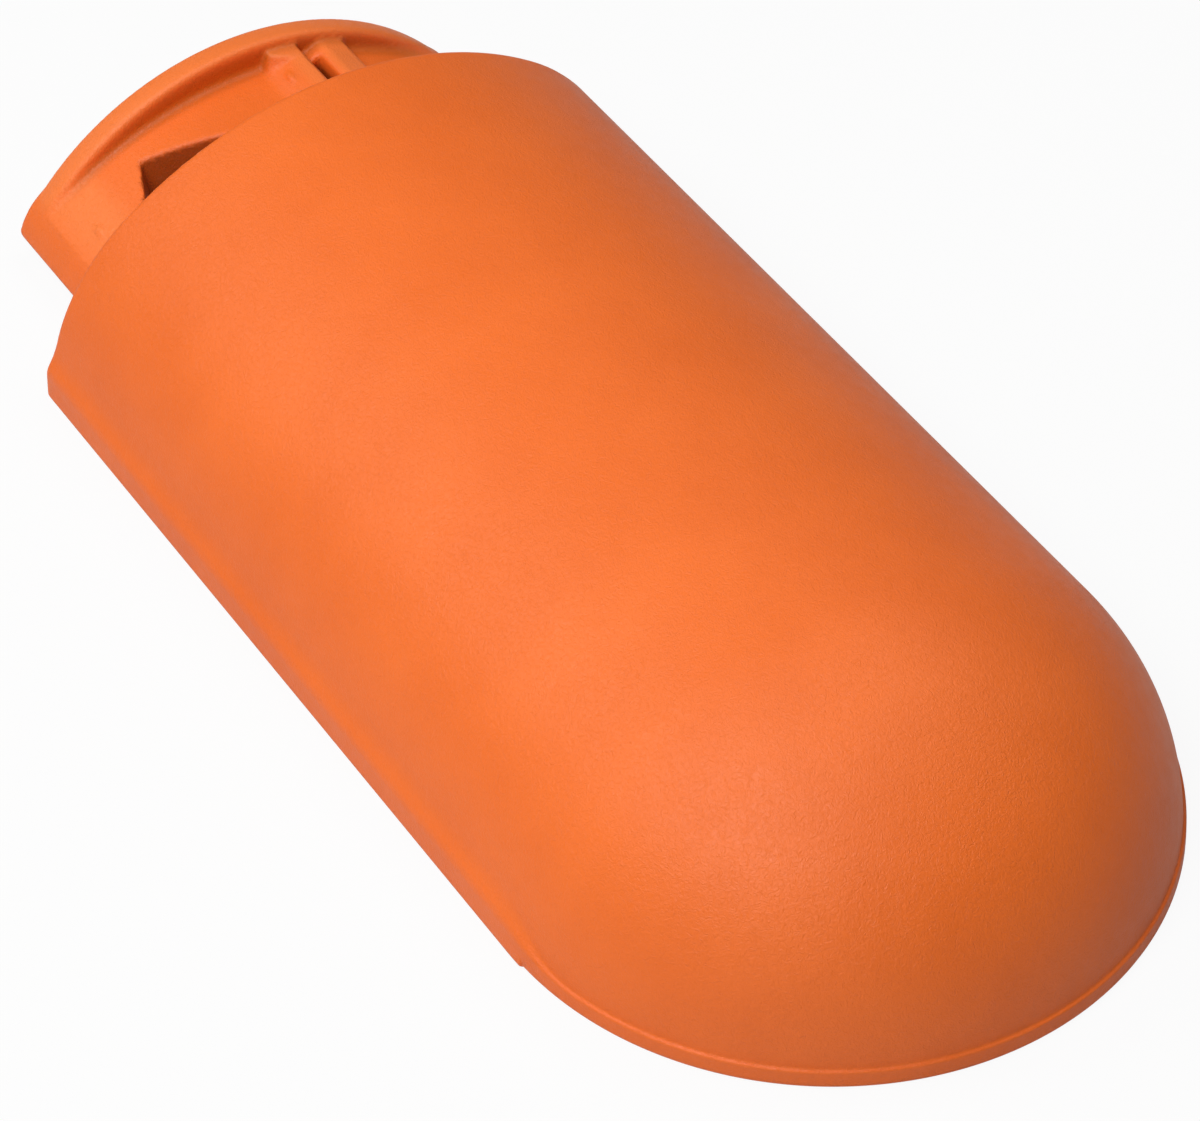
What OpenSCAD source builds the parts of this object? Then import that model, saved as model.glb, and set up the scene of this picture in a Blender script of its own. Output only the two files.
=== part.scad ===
// Clay ridge starter tile: an arched barrel with a rounded end, and at the other end a narrow
// spigot that the next ridge tile covers. It lies on its foot, with its length along X and the
// rounded end towards +X. Sizes are in millimetres.

/* [Barrel] */
// Width across the two foot lips
tile_w = 210; // [190:1:240]
// Height of the crown above the foot
crown_h = 81.5; // [68:0.5:94]
// Rise, over 3 across, of the line on which the haunch arcs and the crown arc meet
joint_rise = 4; // [3:0.25:6]
// Straight length of the barrel, from its back end to the rounded end
barrel_l = 275; // [200:1:340]
// Thickness of the fired clay
wall = 14; // [10:0.5:18]

/* [Foot lip] */
// How far the lip stands out along the straight sides
lip_out = 2; // [1:0.25:6]
// Height of the lip's upright face along the straight sides
lip_h = 11; // [6:0.5:16]
// How far the lip stands out round the rounded end
end_lip_out = 1.2; // [0.8:0.1:4]
// Height of the lip's upright face round the rounded end
end_lip_h = 6; // [4:0.5:12]
// Lean of the lip's upright face
lip_draft = 0.4; // [0.2:0.1:0.6]
// Rise of the sloping ledge on the lip for each millimetre inwards
ledge_slope = 0.5; // [0.2:0.05:0.8]

/* [Spigot] */
// Length of the spigot behind the barrel
spigot_l = 65; // [54:1:78]
// Gap left at each side between the spigot and a barrel laid over it
sleeve_gap = 7; // [4:0.5:10]
// Gap left at the crown between the spigot and a barrel laid over it
crown_gap = 11.5; // [6:0.5:16]
// Radius of the spigot's haunches
spigot_haunch_r = 30; // [20:0.5:38]
// Height of the spigot's lower edge above the foot
spigot_foot = 8; // [4:1:14]
// Thickness of the spigot's clay
spigot_wall = 14; // [10:0.5:16]
// Thickness of the shoulder that carries the spigot
shoulder_t = 14; // [10:1:20]
// Width of the raised rim at the spigot's end
rim_w = 10.5; // [8:0.5:14]
// Depth of the sunk land below the rim, at the crown
land_d = 9.5; // [6:0.5:12]
// Width in plan of the flat flange between the land and each side of the spigot
flange_w = 9; // [7:0.5:14]
// Step from the flange down to the land
flange_step = 1.2; // [0.6:0.2:2]

/* [Crown ribs] */
// Distance of the channel between the two ribs from the crown line
channel_y = 21.5; // [16:0.5:28]
// Width of each rib's top
rib_w = 6; // [4:0.5:8]
// Width of the channel between the two rib tops
rib_gap = 6.5; // [6:0.5:9]
// How far the rib tops lie below the crown of the rim
rib_drop = 4.5; // [3.5:0.5:8]
// Lean of the side that faces the crown line, in degrees from upright
rib_lean = 58; // [30:1:62]
// Lean of the ribs' three other sides, in degrees from upright
channel_lean = 4; // [0:1:8]
// Width of the nail slot in the floor of the channel
nail_w = 5; // [4.5:0.1:5.5]
// Length of the nail slot
nail_l = 30; // [16:1:36]
// Distance of the nail slot from the rim
nail_inset = 5.5; // [4:0.5:10]

/* [Side hole] */
// Length of the hole along the tile
hole_l = 24; // [14:1:26]
// Width of the hole
hole_w = 28; // [16:1:30]
// Distance of the hole's middle from the edge of the flange
hole_inset = 36; // [28:1:40]
// Turn of the hole in the land, in degrees
hole_turn = 23; // [0:1:30]

/* [Hidden] */
$fn = 96;

joint_run = 3;
joint_cos = joint_run / norm([joint_run, joint_rise]);
joint_sin = joint_rise / norm([joint_run, joint_rise]);
foot_half = tile_w / 2 - lip_out;
haunch_r = foot_half - joint_cos * (foot_half - crown_h) / (joint_cos + joint_sin - 1);
reach = 2 * tile_w;

// The rounded end is the section turned about an upright axis.
end_reach = foot_half + end_lip_out;
tile_l = spigot_l + barrel_l + end_reach;
back_x = spigot_l - tile_l / 2;

// The spigot is the barrel's inside less the gaps.
spigot_half = foot_half - wall - sleeve_gap;
rim_top = crown_h - wall - crown_gap;
land_half = spigot_half - flange_w;
land_back = -spigot_l + rim_w;
land_top = rim_top - land_d;
land_edge = arch_height(land_half, spigot_half, rim_top, spigot_haunch_r) - flange_step;
land_fall = land_top - land_edge;
land_r = (land_half * land_half + land_fall * land_fall) / (2 * land_fall);
land_z = land_top - land_r;
rib_top = rim_top - rib_drop;
hole_x = land_back / 2;
hole_y = land_half - hole_inset;

// Each section is a three-centred arch: two haunch arcs that start upright at the foot, and one
// crown arc that is tangent to both. Its crown radius, and the angle of the joint above level:
function crown_radius(half, height, haunch) =
    let (x = half - haunch, rise = height - haunch)
    haunch + (rise * rise + x * x) / (2 * rise);
function joint_angle(half, height, haunch) =
    acos((half - haunch) / (crown_radius(half, height, haunch) - haunch));

// Height of an arch's face at a distance y from the crown line.
function arch_height(y, half, height, haunch) =
    let (r = crown_radius(half, height, haunch), angle = joint_angle(half, height, haunch))
    abs(y) < r * cos(angle)
        ? height - r + sqrt(r * r - y * y)
        : sqrt(haunch * haunch - pow(abs(y) - half + haunch, 2));

// Extrudes a section drawn in Y and Z from one X to another.
module along(x0, x1) {
    translate([x0, 0, 0])
        rotate([90, 0, 90])
            linear_extrude(x1 - x0)
                children();
}

// An arch as three sectors that meet along the straight lines through the arcs' centres.
module arch(half, height, haunch) {
    r = crown_radius(half, height, haunch);
    angle = joint_angle(half, height, haunch);
    x = half - haunch;
    far_x = x + reach * cos(angle);
    far_z = reach * sin(angle);
    intersection() {
        translate([0, height - r])
            circle(r);
        polygon([[-x, 0], [x, 0], [far_x, far_z], [-far_x, far_z]]);
    }
    for (side = [0, 1])
        mirror([side, 0])
            intersection() {
                translate([x, 0])
                    circle(haunch);
                polygon([[x, 0], [x + reach, 0], [x + reach, far_z], [far_x, far_z]]);
            }
}

// The barrel's arch and the spigot's arch, inset by a given thickness.
module barrel_arch(inset) {
    arch(foot_half - inset, crown_h - inset, haunch_r - inset);
}

module spigot_arch(inset) {
    arch(spigot_half - inset, rim_top - inset, spigot_haunch_r - inset);
}

// The foot lip on one side: an upright face with a sloping ledge above it.
module lip(out, height) {
    root = foot_half - wall / 2;
    edge = foot_half + out - lip_draft;
    polygon([
        [root, 0],
        [foot_half + out, 0],
        [edge, height],
        [root, height + (edge - root) * ledge_slope]
    ]);
}

// The wall of the barrel in section.
module wall_section() {
    difference() {
        barrel_arch(0);
        barrel_arch(wall);
    }
}

module barrel() {
    along(0, barrel_l) {
        wall_section();
        for (side = [0, 1])
            mirror([side, 0])
                lip(lip_out, lip_h);
    }
}

module rounded_end() {
    translate([barrel_l, 0, 0])
        rotate([0, 0, -90])
            rotate_extrude(angle = 180)
                intersection() {
                    union() {
                        wall_section();
                        lip(end_lip_out, end_lip_h);
                    }
                    square([reach, reach]);
                }
}

// The hollow under the spigot, which follows the land at the crown.
module spigot_hollow() {
    intersection() {
        spigot_arch(spigot_wall);
        translate([0, land_z])
            circle(land_r - spigot_wall);
    }
}

// What lies above the spigot's lower edge and outside its hollow.
module spigot_shell() {
    difference() {
        intersection() {
            children();
            translate([-reach, spigot_foot])
                square([2 * reach, reach]);
        }
        spigot_hollow();
    }
}

// The part of a section above the land, between the two flanges.
module above_land() {
    difference() {
        translate([-land_half, 0])
            square([2 * land_half, reach]);
        translate([0, land_z])
            circle(land_r);
    }
}

// One rib of the pair, from the rim to the shoulder, on either side of the channel.
module rib(side, outer_lean) {
    rise = rib_top - land_edge;
    inner = rib_gap / 2;
    outer = inner + rib_w;
    along(land_back, 0)
        intersection() {
            translate([channel_y, 0])
                polygon([
                    [side * (inner - rise * tan(channel_lean)), land_edge],
                    [side * inner, rib_top],
                    [side * outer, rib_top],
                    [side * (outer + rise * tan(outer_lean)), land_edge]
                ]);
            spigot_shell()
                spigot_arch(0);
        }
}

module spigot() {
    along(-spigot_l, land_back)
        spigot_shell()
            spigot_arch(0);
    along(land_back, 0)
        difference() {
            spigot_shell()
                spigot_arch(0);
            above_land();
        }
    along(0, shoulder_t)
        spigot_shell()
            barrel_arch(wall / 2);
    rib(-1, rib_lean);
    rib(1, channel_lean);
}

// Openings through the land: the side hole, and the nail slot between the ribs.
module land_openings() {
    translate([hole_x, -hole_y, 0])
        rotate([0, 0, -hole_turn])
            translate([-hole_l / 2, -hole_w / 2, 0])
                cube([hole_l, hole_w, reach]);
    translate([land_back + nail_inset, channel_y - nail_w / 2, 0])
        cube([nail_l, nail_w, reach]);
}

module ridge_tile() {
    color("#e8753a")
        translate([back_x, 0, 0]) {
            barrel();
            rounded_end();
            difference() {
                spigot();
                land_openings();
            }
        }
}

ridge_tile();
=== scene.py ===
"""Clay ridge starter tile: one fired piece with soft edges, on a pale floor in studio light."""

import math

import bpy
import numpy as np
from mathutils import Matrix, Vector


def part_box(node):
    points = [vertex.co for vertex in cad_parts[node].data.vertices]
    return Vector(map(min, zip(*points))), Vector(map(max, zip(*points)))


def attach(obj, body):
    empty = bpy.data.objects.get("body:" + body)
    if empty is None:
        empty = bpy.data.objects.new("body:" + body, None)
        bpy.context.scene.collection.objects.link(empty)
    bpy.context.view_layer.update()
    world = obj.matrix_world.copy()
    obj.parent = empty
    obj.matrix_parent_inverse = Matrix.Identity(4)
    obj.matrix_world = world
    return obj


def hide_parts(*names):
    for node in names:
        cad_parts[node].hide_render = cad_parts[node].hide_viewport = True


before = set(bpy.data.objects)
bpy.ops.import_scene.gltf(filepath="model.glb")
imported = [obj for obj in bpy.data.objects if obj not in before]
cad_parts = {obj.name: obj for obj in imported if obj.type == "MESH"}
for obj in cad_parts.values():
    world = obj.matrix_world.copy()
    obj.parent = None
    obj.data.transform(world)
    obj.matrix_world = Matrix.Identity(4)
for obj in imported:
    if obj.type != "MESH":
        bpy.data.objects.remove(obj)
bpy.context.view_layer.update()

# Sizes in millimetres, in the frame of the part: +X to the rounded end, +Z up
MM = 0.001
LOW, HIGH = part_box("ridge_tile")
TILE_W = (HIGH.y - LOW.y) / MM
CROWN_H = HIGH.z / MM
TILE_BACK = LOW.x / MM
TILE_FRONT = HIGH.x / MM

# Barrel and foot lip
WALL = 14.0
JOINT_RUN, JOINT_RISE = 3.0, 4.0
LIP_OUT = 2.0
LIP_H = 11.0
LIP_LEDGE = 1.3
END_LIP_OUT = 1.2
END_LIP_H = 6.0
END_LIP_LEDGE = 0.25
LIP_DRAFT = 0.4
LIP_RUN = 24.0
NICK_RUN = 6.0
NICK_W = 0.4
NICK_H = 5.0
FOOT_HALF = TILE_W / 2 - LIP_OUT
AXIS_X = TILE_FRONT - FOOT_HALF - END_LIP_OUT
NICK_X = AXIS_X + NICK_RUN
JOINT_COS = JOINT_RUN / math.hypot(JOINT_RUN, JOINT_RISE)
JOINT_SIN = JOINT_RISE / math.hypot(JOINT_RUN, JOINT_RISE)
HAUNCH_R = FOOT_HALF - JOINT_COS * (FOOT_HALF - CROWN_H) / (JOINT_COS + JOINT_SIN - 1)

# Spigot
SPIGOT_L = 65.0
SLEEVE_GAP = 7.0
CROWN_GAP = 11.5
SPIGOT_HAUNCH_R = 30.0
SPIGOT_FOOT = 8.0
SPIGOT_WALL = 14.0
SHOULDER_T = 14.0
RIM_W = 10.5
BEVEL_W = 5.0
BEVEL_D = 1.6
BEVEL_BELOW = 4.0
BEVEL_ABOVE = 2.0
LAND_D = 9.5
FLANGE_W = 9.0
FLANGE_STEP = 1.2
BACK_X = TILE_BACK + SPIGOT_L
LAND_X = TILE_BACK + RIM_W
SPIGOT_HALF = FOOT_HALF - WALL - SLEEVE_GAP
RIM_TOP = CROWN_H - WALL - CROWN_GAP
LAND_HALF = SPIGOT_HALF - FLANGE_W
LAND_TOP = RIM_TOP - LAND_D

# Ribs and openings
CHANNEL_Y = 21.5
RIB_W = 6.0
RIB_GAP = 6.5
RIB_DROP = 4.5
RIB_TOP = RIM_TOP - RIB_DROP
RIB_INSET = 3.3
RIB_LEAN = math.radians(58)
RIB_EDGE_LEAN = math.radians(75)
RIB_ROOT_Y = 7.0
RIB_ROOT_L = 7.0
RIB_ROOT_LEAN = math.radians(22)
CHANNEL_LEAN = math.radians(4)
SECOND_Y = 26.5
SECOND_W = 8.5
SECOND_LEAN = math.radians(65)
NAIL_W = 5.0
NAIL_L = 30.0
NAIL_INSET = 5.5
NAIL_X = LAND_X + NAIL_INSET + NAIL_L / 2
HOLE_L = 24.0
HOLE_W = 28.0
HOLE_INSET = 36.0
HOLE_X = (LAND_X + BACK_X) / 2
HOLE_Y = LAND_HALF - HOLE_INSET
HOLE_TURN = math.radians(23)
HOLE_DRAFT = 0.18

# Smears of clay: place along from the barrel's back end, place across from the crown line, and radius
LUMPS = ((-42, 9.5, 1.1), (-33, -66, 1.2))
LUMP_SINK = 0.7
LUMP_STRETCH = 2.0

# Softness of the clay's edges: widths over which two faces run into each other
LIP_SOFT = 1.3
END_LIP_SOFT = 0.6
END_SOFT = 2.4
RIM_SOFT = 2.4
BEVEL_SOFT = 1.2
LAND_SOFT = 2.4
RIB_SOFT = 1.3
CUT_SOFT = 1.4
FOOT_SOFT = 1.6

# Where the clay is tinted: spans on the rim's face, and depths below the spigot's arch, for the painted
# shade on the rim's face and the paler rim tops (partly rubbed wear, partly painted highlight)
RECESS_EDGE = 1.0
RECESS_RUN = 5.0
RECESS_DEPTH = 4.0
RIM_WEAR_AND_HIGHLIGHT_DEPTH = 5.0

# Colours of the clay, linear
CLAY_DEEP = (0.83, 0.146, 0.013)
CLAY_LIGHT = (0.89, 0.165, 0.018)
SPECK = (0.70, 0.105, 0.012)
# Paler clay on outer edges: partly rubbed wear, partly a painted highlight
EDGE_WEAR_AND_HIGHLIGHT = (0.90, 0.235, 0.060)
# Painted shade in hollows and creases
HOLLOW_SHADE = (0.50, 0.090, 0.006)
# Paler clay on the rim and rib tops: partly rubbed wear, partly a painted highlight
RIM_WEAR_AND_HIGHLIGHT = (0.95, 0.230, 0.050)
# Painted shade on the rim's face above the land
RECESS_SHADE = (0.40, 0.095, 0.004)
# Painted shade on the walls of the openings
OPENING_SHADE = (0.27, 0.042, 0.002)

# Finish of the clay, with heights of the bump in metres
SPECULAR = 0.42
SMOOTHEST, ROUGHEST = 0.43, 0.51
SWELL_HEIGHT, SWELL_STRENGTH = 0.0006, 0.25
GRAIN_HEIGHT, GRAIN_STRENGTH = 0.0003, 0.95

# Sockets of a Mix node that mixes colours
MIX_FROM, MIX_TO, MIX_RESULT = 6, 7, 2

# Floor, and how much of the white background each kind of ray sees on it and in the world
FLOOR_HALF = 40.0
FLOOR_GREY = 0.7
FLOOR_ROUGH = 0.9
WORLD_LIGHT = 0.04
WHITE_SHARES = {"Is Camera Ray": 0.92, "Is Glossy Ray": 0.1, "Is Transmission Ray": 0.1}

# Lamps and camera, in metres and degrees
LAMP_DISTANCE = 1.6
LAMP_TARGET = Vector((0, 0, 0.03))
CAMERA_TARGET = Vector((BACK_X + 181.78, -15.52, 30)) * MM
CAMERA_AZIMUTH = -32.357
CAMERA_ELEVATION = 43.976
CAMERA_DISTANCE = 1.41155
CAMERA_LENS = 145.05
SENSOR_W = 36

# Mesh spacing, fine where the nick, the ribs and openings, and the lip are
NICK_FROM, NICK_TO = 6.0, 9.5
OPENINGS_TO = 52.0
MARGIN = 2.0
FINE = 1.2
STRAIGHT = 9.0
GRADIENT_STEP = 0.05
EDGE_STEP = 0.9
FLATTEST_SLOPE = 0.05
TINY = 1e-9


def smooth_max(a, b, width):
    """The larger of two distances, with the crease between them rounded over width."""
    blend = np.maximum(width - np.abs(a - b), 0) / width
    return np.maximum(a, b) + blend * blend * width / 4


def smooth_min(a, b, width):
    return -smooth_max(-a, -b, width)


def step(value, start, end):
    """Runs smoothly from 0 at start to 1 at end."""
    t = np.clip((value - start) / (end - start), 0, 1)
    return t * t * (3 - 2 * t)


def mix(a, b, share):
    return a + (b - a) * share


def arch_radii(half, height, haunch):
    """Crown radius and the height of its centre, for a three-centred arch."""
    x = half - haunch
    rise = height - haunch
    crown = haunch + (rise * rise + x * x) / (2 * rise)
    return crown, height - crown


def arch_distance(y, z, half, height, haunch):
    """Distance outside a three-centred arch that stands upright on its foot."""
    y = np.abs(y)
    x = half - haunch
    crown, centre = arch_radii(half, height, haunch)
    over_crown = (z - centre) * x > y * -centre
    to_crown = np.hypot(y, z - centre) - crown
    to_haunch = np.where(z > 0, np.hypot(y - x, z), np.abs(y - x)) - haunch
    return np.where(over_crown, to_crown, to_haunch)


SPIGOT_CROWN_R, SPIGOT_CENTRE = arch_radii(SPIGOT_HALF, RIM_TOP, SPIGOT_HAUNCH_R)
FLANGE_TOP = SPIGOT_CENTRE + math.sqrt(SPIGOT_CROWN_R**2 - LAND_HALF**2)
LAND_EDGE = FLANGE_TOP - FLANGE_STEP
LAND_FALL = LAND_TOP - LAND_EDGE
LAND_R = (LAND_HALF**2 + LAND_FALL**2) / (2 * LAND_FALL)
LAND_CENTRE = LAND_TOP - LAND_R
SECOND_TOP = SPIGOT_CENTRE + math.sqrt((SPIGOT_CROWN_R - RIB_INSET)**2 - SECOND_Y**2)


def lip_distance(x, rho, z):
    """The foot lip and its softness: an upright face and a ledge, lower and crisper round the end.

    Only the lowest part of the lip steps in, a little past the end of the straight side.
    """
    to_end = step(x, AXIS_X - LIP_RUN / 4, AXIS_X + LIP_RUN)
    at_foot = 1 - step(z, 0, NICK_H)
    narrow = mix(to_end, step(x, NICK_X - NICK_W, NICK_X + NICK_W), at_foot)
    out = mix(LIP_OUT, END_LIP_OUT, narrow)
    height = mix(LIP_H, END_LIP_H, to_end)
    slope = mix(LIP_LEDGE, END_LIP_LEDGE, to_end)
    soft = mix(LIP_SOFT, END_LIP_SOFT, to_end)
    edge = FOOT_HALF + out - LIP_DRAFT
    face = rho - (FOOT_HALF + out - LIP_DRAFT * z / height)
    ledge = (z - height - (edge - rho) * slope) / np.hypot(1, slope)
    nose = smooth_max(smooth_max(face, ledge, soft), BACK_X - x, END_SOFT)
    return np.maximum(nose, FOOT_HALF - WALL / 2 - rho), soft


def barrel_distance(x, y, z):
    """The barrel and its rounded end, down to the foot."""
    rho = np.hypot(np.maximum(x - AXIS_X, 0), y)
    outside = arch_distance(rho, z, FOOT_HALF, CROWN_H, HAUNCH_R)
    back = BACK_X - x
    wall = np.maximum(smooth_max(outside, back, END_SOFT), smooth_max(-outside - WALL, back, END_SOFT))
    return smooth_min(wall, *lip_distance(x, rho, z))


def leaning(across, drop, lean):
    """Distance outside a side that leans outwards below its top edge."""
    return (across - drop * math.tan(lean)) * math.cos(lean)


def rib_distance(x, y, z, outside):
    """The two ribs beside the channel, whose tops follow the arch.

    The first has a gentle flank with a broken edge, which steepens where the rib meets the rim.
    The second's flank runs down to the floor of the channel.
    """
    top = outside + RIB_INSET
    drop = RIB_TOP - z
    first = CHANNEL_Y - RIB_GAP / 2 - y
    edge = leaning(first - RIB_W / 2, drop, RIB_EDGE_LEAN)
    flank = smooth_max(leaning(first - RIB_W, drop, RIB_LEAN), edge, RIB_SOFT)
    root = leaning(RIB_ROOT_Y - y, drop, RIB_ROOT_LEAN)
    flank = mix(root, flank, step(x, LAND_X + RIB_ROOT_L / 4, LAND_X + RIB_ROOT_L))
    sides = smooth_max(flank, leaning(-first, drop, CHANNEL_LEAN), RIB_SOFT)
    first_rib = smooth_max(sides, top, RIB_SOFT)
    second_drop = SECOND_TOP - z
    outer = leaning(y - SECOND_Y - SECOND_W, second_drop, CHANNEL_LEAN)
    sides = smooth_max(outer, leaning(SECOND_Y - y, second_drop, SECOND_LEAN), RIB_SOFT)
    ribs = np.minimum(first_rib, smooth_max(sides, top, RIB_SOFT))
    return np.maximum(ribs, np.maximum(TILE_BACK + RIM_W / 2 - x, x - BACK_X - SHOULDER_T / 2))


def lump_distance(x, y, z):
    """The smears of clay, sunk into what they lie on."""
    lumps = np.full_like(x, np.inf)
    for along, across, radius in LUMPS:
        flank_run = max(0, CHANNEL_Y - RIB_GAP / 2 - RIB_W - across)
        on_rib = RIB_TOP - flank_run / math.tan(RIB_LEAN)
        on_land = LAND_CENTRE + math.sqrt(LAND_R**2 - across**2)
        middle = max(on_rib, on_land) - radius * LUMP_SINK
        ahead = (x - BACK_X - along) / LUMP_STRETCH
        lumps = np.minimum(lumps, np.hypot(np.hypot(ahead, y - across), z - middle) - radius)
    return lumps


def opening_distance(x, y, depth):
    """The side hole, turned in the land and narrower below, and the nail slot between the ribs."""
    dx = x - HOLE_X
    dy = y + HOLE_Y
    along = np.abs(dx * math.cos(HOLE_TURN) - dy * math.sin(HOLE_TURN)) - HOLE_L / 2
    across = np.abs(dx * math.sin(HOLE_TURN) + dy * math.cos(HOLE_TURN)) - HOLE_W / 2
    hole = smooth_max(along, across, CUT_SOFT) + np.maximum(depth, 0) * HOLE_DRAFT
    slot = smooth_max(np.abs(x - NAIL_X) - NAIL_L / 2, np.abs(y - CHANNEL_Y) - NAIL_W / 2, CUT_SOFT)
    return np.minimum(hole, slot)


def above_flange(z):
    """Runs from 0 on the spigot's flanges to 1 above them."""
    return step(z, FLANGE_TOP - BEVEL_BELOW, FLANGE_TOP + BEVEL_ABOVE)


def spigot_distance(x, y, z):
    """The spigot with its rim, sunk land, flanges and ribs, and the shoulder that carries it."""
    outside = arch_distance(y, z, SPIGOT_HALF, RIM_TOP, SPIGOT_HAUNCH_R)
    over_land = np.hypot(y, z - LAND_CENTRE) - LAND_R
    fall = BEVEL_D * above_flange(z)
    bevel = (outside + fall * (1 - (x - TILE_BACK) / BEVEL_W)) / np.hypot(1, fall / BEVEL_W)
    body = smooth_max(smooth_max(outside, bevel, BEVEL_SOFT), TILE_BACK - x, RIM_SOFT)
    pocket = smooth_max(np.maximum(LAND_X - x, np.abs(y) - LAND_HALF), -over_land, LAND_SOFT)
    land = smooth_max(body, -pocket, LAND_SOFT)
    land = smooth_min(land, np.maximum(rib_distance(x, y, z, outside), body), RIB_SOFT)
    land = smooth_min(land, lump_distance(x, y, z), RIB_SOFT)
    land = np.maximum(land, x - BACK_X - SHOULDER_T / 2)
    in_barrel = arch_distance(y, z, FOOT_HALF, CROWN_H, HAUNCH_R) + WALL / 2
    shoulder = np.maximum(in_barrel, np.abs(x - BACK_X - SHOULDER_T / 2) - SHOULDER_T / 2)
    solid = smooth_min(land, shoulder, LAND_SOFT)
    hollow = smooth_max(outside + SPIGOT_WALL, over_land + SPIGOT_WALL, LAND_SOFT)
    solid = smooth_max(solid, -hollow, FOOT_SOFT)
    solid = smooth_max(solid, SPIGOT_FOOT - z, RIM_SOFT)
    return smooth_max(solid, -opening_distance(x, y, -over_land), CUT_SOFT)


def tile_distance(x, y, z):
    """Distance outside the whole tile, in millimetres."""
    whole = barrel_distance(x, y, z)
    near = x < BACK_X + 2 * SHOULDER_T
    whole[near] = smooth_min(whole[near], spigot_distance(x[near], y[near], z[near]), CUT_SOFT)
    return smooth_max(whole, -z, FOOT_SOFT)


def spaced(*stops):
    """Grid lines from the first stop's place to the last, spaced as each stop says up to the next."""
    lines = []
    for (start, gap), (end, _) in zip(stops, stops[1:]):
        count = max(1, round((end - start) / gap))
        lines.append(start + (end - start) * np.arange(count) / count)
    return np.concatenate(lines + [[stops[-1][0]]])


def grid():
    """Places of a grid's points. Past the rounded end's axis, its square rings bend into half circles."""
    lip_root = FOOT_HALF - WALL / 2
    edge = FOOT_HALF + LIP_OUT + MARGIN
    rings = spaced(
        (0, 2.0), (NICK_FROM, 0.5), (NICK_TO, 1.3), (OPENINGS_TO, 2.4), (SPIGOT_HALF + MARGIN, 2.8),
        (lip_root, 0.8), (edge, 0),
    )
    straight = spaced(
        (TILE_BACK - MARGIN, FINE), (BACK_X + 3, 1.6), (BACK_X + SHOULDER_T + MARGIN, STRAIGHT),
        (AXIS_X - 12, 2.0), (AXIS_X, 0),
    )
    ahead = np.concatenate([straight - AXIS_X, rings[1:]])
    across = np.concatenate([-rings[:0:-1], rings])
    heights = spaced(
        (-MARGIN, 1.2), (4, 0.65), (LIP_H + MARGIN, 2.4), (LAND_EDGE, 1.4), (RIM_TOP + MARGIN, 2.8),
        (CROWN_H + MARGIN, 0),
    )
    a, b, z = np.meshgrid(ahead, across, heights, indexing="ij")
    ring = np.maximum(np.maximum(a, np.abs(b)), TINY)
    beside = np.sign(b) * (math.pi / 2 - math.pi / 4 * a / ring)
    angle = np.where(a > np.abs(b), math.pi / 4 * b / ring, beside)
    x = np.where(a > 0, ring * np.cos(angle), a) + AXIS_X
    y = np.where(a > 0, ring * np.sin(angle), b)
    return x, y, z


def surface_net(field, places):
    """Vertices and quads of a field's zero surface: one vertex in each cell of the grid that it crosses."""
    cells = tuple(n - 1 for n in field.shape)
    total = int(np.prod(cells))
    count = np.zeros(total)
    sums = np.zeros((3, total))
    quads = []
    for axis in range(3):
        u, v = (axis + 1) % 3, (axis + 2) % 3
        f0 = np.take(field, np.arange(cells[axis]), axis)
        f1 = np.take(field, np.arange(1, cells[axis] + 1), axis)
        at = np.array(np.nonzero((f0 < 0) != (f1 < 0)))
        f0, f1 = f0[tuple(at)], f1[tuple(at)]
        end = at.copy()
        end[axis] += 1
        crossing = [mix(place[tuple(at)], place[tuple(end)], f0 / (f0 - f1)) for place in places]
        corners = []
        for du, dv in ((-1, -1), (0, -1), (0, 0), (-1, 0)):
            cell = at.copy()
            cell[u] += du
            cell[v] += dv
            index = np.ravel_multi_index(tuple(cell), cells)
            count += np.bincount(index, minlength=total)
            for i in range(3):
                sums[i] += np.bincount(index, weights=crossing[i], minlength=total)
            corners.append(index)
        ring = np.stack(corners, 1)
        quads.append(np.where((f0 < 0)[:, None], ring, ring[:, ::-1]))
    used = np.nonzero(count)[0]
    number = np.full(total, -1)
    number[used] = np.arange(len(used))
    return (sums[:, used] / count[used]).T, number[np.concatenate(quads)]


def gradient(points):
    """Slope of the tile's distance at points."""
    slopes = np.empty_like(points)
    for axis in range(3):
        shift = np.zeros(3)
        shift[axis] = GRADIENT_STEP
        ahead = tile_distance(*(points + shift).T)
        behind = tile_distance(*(points - shift).T)
        slopes[:, axis] = (ahead - behind) / (2 * GRADIENT_STEP)
    return slopes


def settled(points):
    """Points moved along the slope on to the surface."""
    for _ in range(2):
        slopes = gradient(points)
        lengths = np.maximum((slopes * slopes).sum(1), FLATTEST_SLOPE)
        points = points - slopes * (tile_distance(*points.T) / lengths)[:, None]
    return points


def evened(points, quads):
    """Points moved half way to the middle of the faces around them."""
    middles = points[quads].mean(1)
    corners = quads.ravel()
    count = np.bincount(corners, minlength=len(points))
    around = [np.bincount(corners, np.repeat(middles[:, i], 4), len(points)) / count for i in range(3)]
    return (points + np.stack(around, 1)) / 2


def sharpness(points):
    """How much the surface bends at points: above 0 on outer edges, below 0 in hollows."""
    bend = -6 * tile_distance(*points.T)
    for axis in range(3):
        for side in (-EDGE_STEP, EDGE_STEP):
            shift = np.zeros(3)
            shift[axis] = side
            bend += tile_distance(*(points + shift).T)
    return bend / EDGE_STEP


def painted_shade_in_openings(points):
    """Share of painted shade: 1 on the walls of the openings, 0 elsewhere."""
    x, y, z = points.T
    depth = LAND_R - np.hypot(y, z - LAND_CENTRE)
    near = 1 - step(np.abs(opening_distance(x, y, depth)), CUT_SOFT / 2, CUT_SOFT)
    return near * step(depth, 0, CUT_SOFT) * (x < BACK_X)


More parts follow.
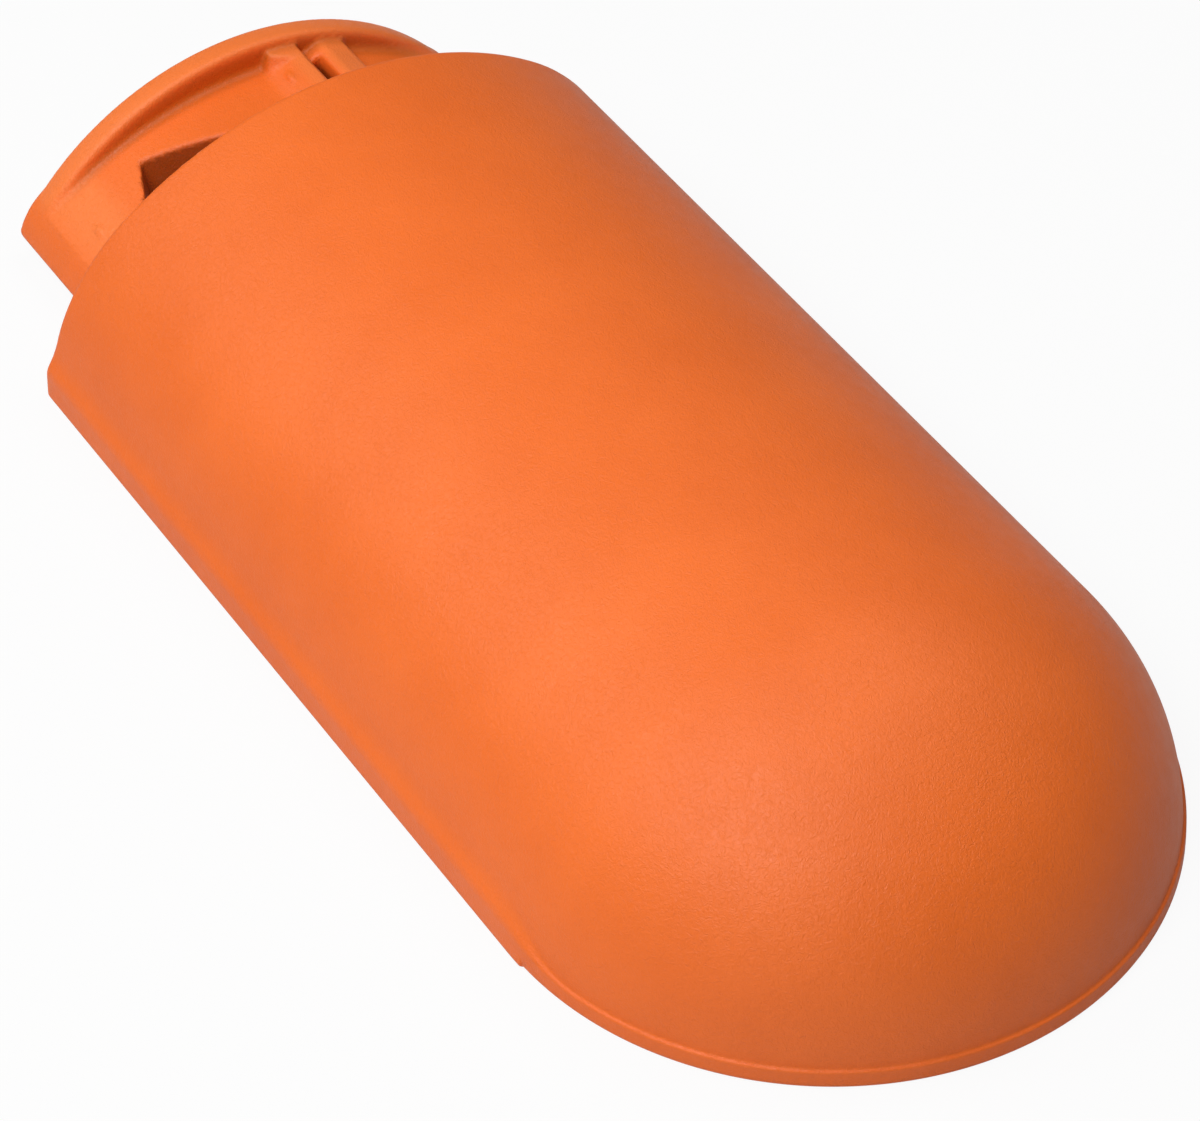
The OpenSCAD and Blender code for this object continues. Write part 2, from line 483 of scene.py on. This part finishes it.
def painted_shade_behind_rim(points):
    """Share of painted shade: 1 on the rim's face above the land, 0 elsewhere."""
    x, y, z = points.T
    sunk = -arch_distance(y, z, SPIGOT_HALF, RIM_TOP, SPIGOT_HAUNCH_R)
    near = step(x, LAND_X - RECESS_EDGE, LAND_X) * (1 - step(x, LAND_X + RECESS_EDGE, LAND_X + RECESS_RUN))
    return near * step(sunk, RECESS_EDGE, RECESS_DEPTH) * (np.abs(y) < LAND_HALF)


def rim_wear_and_highlight(points):
    """Share of paler clay, partly rubbed wear and partly painted highlight: 1 on top of the rim and the
    ribs, 0 elsewhere.
    """
    x, y, z = points.T
    sunk = -arch_distance(y, z, SPIGOT_HALF, RIM_TOP, SPIGOT_HAUNCH_R)
    return (x < BACK_X) * (1 - step(sunk, RIB_INSET, RIM_WEAR_AND_HIGHLIGHT_DEPTH)) * above_flange(z)


def build_tile():
    """The tile as one closed mesh, which stands for the CAD node."""
    places = grid()
    points, quads = surface_net(tile_distance(*places), places)
    points = settled(evened(settled(points), quads))
    slopes = gradient(points)
    normals = slopes / np.maximum(np.linalg.norm(slopes, axis=1), TINY)[:, None]
    mesh = bpy.data.meshes.new("ridge_tile_clay")
    mesh.from_pydata((points * MM).tolist(), [], quads.tolist())
    mesh.shade_smooth()
    mesh.normals_split_custom_set_from_vertices(normals.tolist())
    values = {
        "edge": sharpness(points),
        "opening_shade": painted_shade_in_openings(points),
        "recess_shade": painted_shade_behind_rim(points),
        "rim": rim_wear_and_highlight(points),
    }
    for name, value in values.items():
        attribute = mesh.attributes.new(name, "FLOAT", "POINT")
        attribute.data.foreach_set("value", value.astype(np.float32))
    tile = bpy.data.objects.new("ridge_tile_clay", mesh)
    bpy.context.scene.collection.objects.link(tile)
    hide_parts("ridge_tile")
    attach(tile, "root")
    return tile


def terracotta():
    """Satin fired clay: a warm orange that varies a little, paler on its edges and the tops of the rim and
    ribs (partly rubbed wear, partly painted highlight), with painted shade in its hollows, on the rim's
    face and in the openings, and a leathery grain.
    """
    material = bpy.data.materials.new("terracotta")
    material.use_nodes = True
    nodes, links = material.node_tree.nodes, material.node_tree.links
    shader = nodes["Principled BSDF"]
    shader.inputs["Specular IOR Level"].default_value = SPECULAR
    place = nodes.new("ShaderNodeTexCoord").outputs["Object"]

    def noise(scale, detail, roughness=0.5, distortion=0.0):
        node = nodes.new("ShaderNodeTexNoise")
        node.inputs["Scale"].default_value = scale
        node.inputs["Detail"].default_value = detail
        node.inputs["Roughness"].default_value = roughness
        node.inputs["Distortion"].default_value = distortion
        links.new(place, node.inputs["Vector"])
        return node.outputs["Fac"]

    def attribute(name):
        node = nodes.new("ShaderNodeAttribute")
        node.attribute_name = name
        return node.outputs["Fac"]

    def ramp(value, stops):
        node = nodes.new("ShaderNodeValToRGB")
        for element, (position, colour) in zip(node.color_ramp.elements, stops):
            element.position = position
            element.color = (*colour, 1)
        links.new(value, node.inputs["Fac"])
        return node.outputs["Color"]

    def spread(value, low, high, to_low, to_high):
        node = nodes.new("ShaderNodeMapRange")
        for name, number in zip(("From Min", "From Max", "To Min", "To Max"), (low, high, to_low, to_high)):
            node.inputs[name].default_value = number
        links.new(value, node.inputs["Value"])
        return node.outputs["Result"]

    def tinted(colour, share, tint):
        node = nodes.new("ShaderNodeMix")
        node.data_type = "RGBA"
        links.new(share, node.inputs["Factor"])
        links.new(colour, node.inputs[MIX_FROM])
        node.inputs[MIX_TO].default_value = (*tint, 1)
        return node.outputs[MIX_RESULT]

    def bumped(height, distance, strength, below=None):
        node = nodes.new("ShaderNodeBump")
        node.inputs["Distance"].default_value = distance
        node.inputs["Strength"].default_value = strength
        links.new(height, node.inputs["Height"])
        if below:
            links.new(below, node.inputs["Normal"])
        return node.outputs["Normal"]

    clay = ramp(noise(22, 5), [(0.33, CLAY_DEEP), (0.67, CLAY_LIGHT)])
    clay = tinted(clay, spread(noise(1500, 2), 0.60, 0.75, 0, 0.25), SPECK)
    # Paler clay on outer edges: partly rubbed wear, partly a painted highlight
    clay = tinted(clay, spread(attribute("edge"), 0.5, 2.4, 0, 0.30), EDGE_WEAR_AND_HIGHLIGHT)
    # Painted shade in hollows and creases
    clay = tinted(clay, spread(attribute("edge"), -0.4, -2.4, 0, 0.45), HOLLOW_SHADE)
    # Paler clay on the rim and rib tops: partly rubbed wear, partly a painted highlight
    clay = tinted(clay, spread(attribute("rim"), 0, 1, 0, 0.6), RIM_WEAR_AND_HIGHLIGHT)
    # Painted shade on the rim's face above the land
    clay = tinted(clay, spread(attribute("recess_shade"), 0, 1, 0, 0.5), RECESS_SHADE)
    # Painted shade on the walls of the openings
    clay = tinted(clay, spread(attribute("opening_shade"), 0, 1, 0, 0.75), OPENING_SHADE)
    links.new(clay, shader.inputs["Base Color"])
    links.new(spread(noise(240, 3), 0.3, 0.7, SMOOTHEST, ROUGHEST), shader.inputs["Roughness"])
    swell = bumped(noise(110, 2), SWELL_HEIGHT, SWELL_STRENGTH)
    grain = bumped(noise(760, 3, 0.6, 1.4), GRAIN_HEIGHT, GRAIN_STRENGTH, swell)
    links.new(grain, shader.inputs["Normal"])
    return material


def white_share(tree, lowest):
    """How white the background is for each kind of ray, above a lowest share for all others."""
    path = tree.nodes.new("ShaderNodeLightPath")
    total = None
    for ray, share in WHITE_SHARES.items():
        part = tree.nodes.new("ShaderNodeMath")
        part.operation = "MULTIPLY_ADD"
        tree.links.new(path.outputs[ray], part.inputs[0])
        part.inputs[1].default_value = share
        part.inputs[2].default_value = lowest
        if total:
            tree.links.new(total, part.inputs[2])
        total = part.outputs[0]
    return total


def add_floor():
    """A pale floor that keeps a soft shadow."""
    mesh = bpy.data.meshes.new("floor")
    corners = [(x * FLOOR_HALF, y * FLOOR_HALF, 0) for x, y in ((-1, -1), (1, -1), (1, 1), (-1, 1))]
    mesh.from_pydata(corners, [], [(0, 1, 2, 3)])
    floor = bpy.data.objects.new("floor", mesh)
    bpy.context.scene.collection.objects.link(floor)
    material = bpy.data.materials.new("floor_white")
    material.use_nodes = True
    nodes, links = material.node_tree.nodes, material.node_tree.links
    shader = nodes["Principled BSDF"]
    shader.inputs["Base Color"].default_value = (FLOOR_GREY, FLOOR_GREY, FLOOR_GREY, 1)
    shader.inputs["Roughness"].default_value = FLOOR_ROUGH
    shader.inputs["Specular IOR Level"].default_value = 0.0
    glow = nodes.new("ShaderNodeEmission")
    blend = nodes.new("ShaderNodeMixShader")
    links.new(white_share(material.node_tree, 0), blend.inputs["Fac"])
    links.new(shader.outputs["BSDF"], blend.inputs[1])
    links.new(glow.outputs["Emission"], blend.inputs[2])
    links.new(blend.outputs["Shader"], nodes["Material Output"].inputs["Surface"])
    mesh.materials.append(material)


def direction(azimuth, elevation):
    """Unit vector towards a place in the sky, in degrees, azimuth from +X towards +Y."""
    a, e = math.radians(azimuth), math.radians(elevation)
    return Vector((math.cos(e) * math.cos(a), math.cos(e) * math.sin(a), math.sin(e)))


def aim(thing, target):
    thing.rotation_euler = (target - thing.location).to_track_quat("-Z", "Y").to_euler()


def add_softbox(name, azimuth, elevation, size, power):
    """A square area lamp that points at the tile."""
    data = bpy.data.lights.new(name, "AREA")
    data.size = size
    data.energy = power
    lamp = bpy.data.objects.new(name, data)
    lamp.location = direction(azimuth, elevation) * LAMP_DISTANCE
    aim(lamp, LAMP_TARGET)
    bpy.context.scene.collection.objects.link(lamp)


def add_light():
    """A dim white world and four softboxes."""
    world = bpy.data.worlds.new("studio")
    world.use_nodes = True
    background = world.node_tree.nodes["Background"]
    background.inputs["Color"].default_value = (1, 1, 1, 1)
    world.node_tree.links.new(white_share(world.node_tree, WORLD_LIGHT), background.inputs["Strength"])
    bpy.context.scene.world = world
    add_softbox("key", azimuth=-68, elevation=60, size=0.8, power=16.4)
    add_softbox("side", azimuth=-134, elevation=46, size=0.7, power=7.2)
    add_softbox("top", azimuth=105, elevation=66, size=0.8, power=6.8)
    add_softbox("front", azimuth=-45, elevation=22, size=0.6, power=2.2)


def add_camera():
    """The photograph's view."""
    data = bpy.data.cameras.new("camera")
    data.sensor_width = SENSOR_W
    data.lens = CAMERA_LENS
    camera = bpy.data.objects.new("camera", data)
    camera.location = CAMERA_TARGET + direction(CAMERA_AZIMUTH, CAMERA_ELEVATION) * CAMERA_DISTANCE
    aim(camera, CAMERA_TARGET)
    bpy.context.scene.collection.objects.link(camera)
    bpy.context.scene.camera = camera


tile = build_tile()
tile.data.materials.append(terracotta())
add_floor()
add_light()
add_camera()
bpy.context.scene.view_settings.view_transform = "Standard"
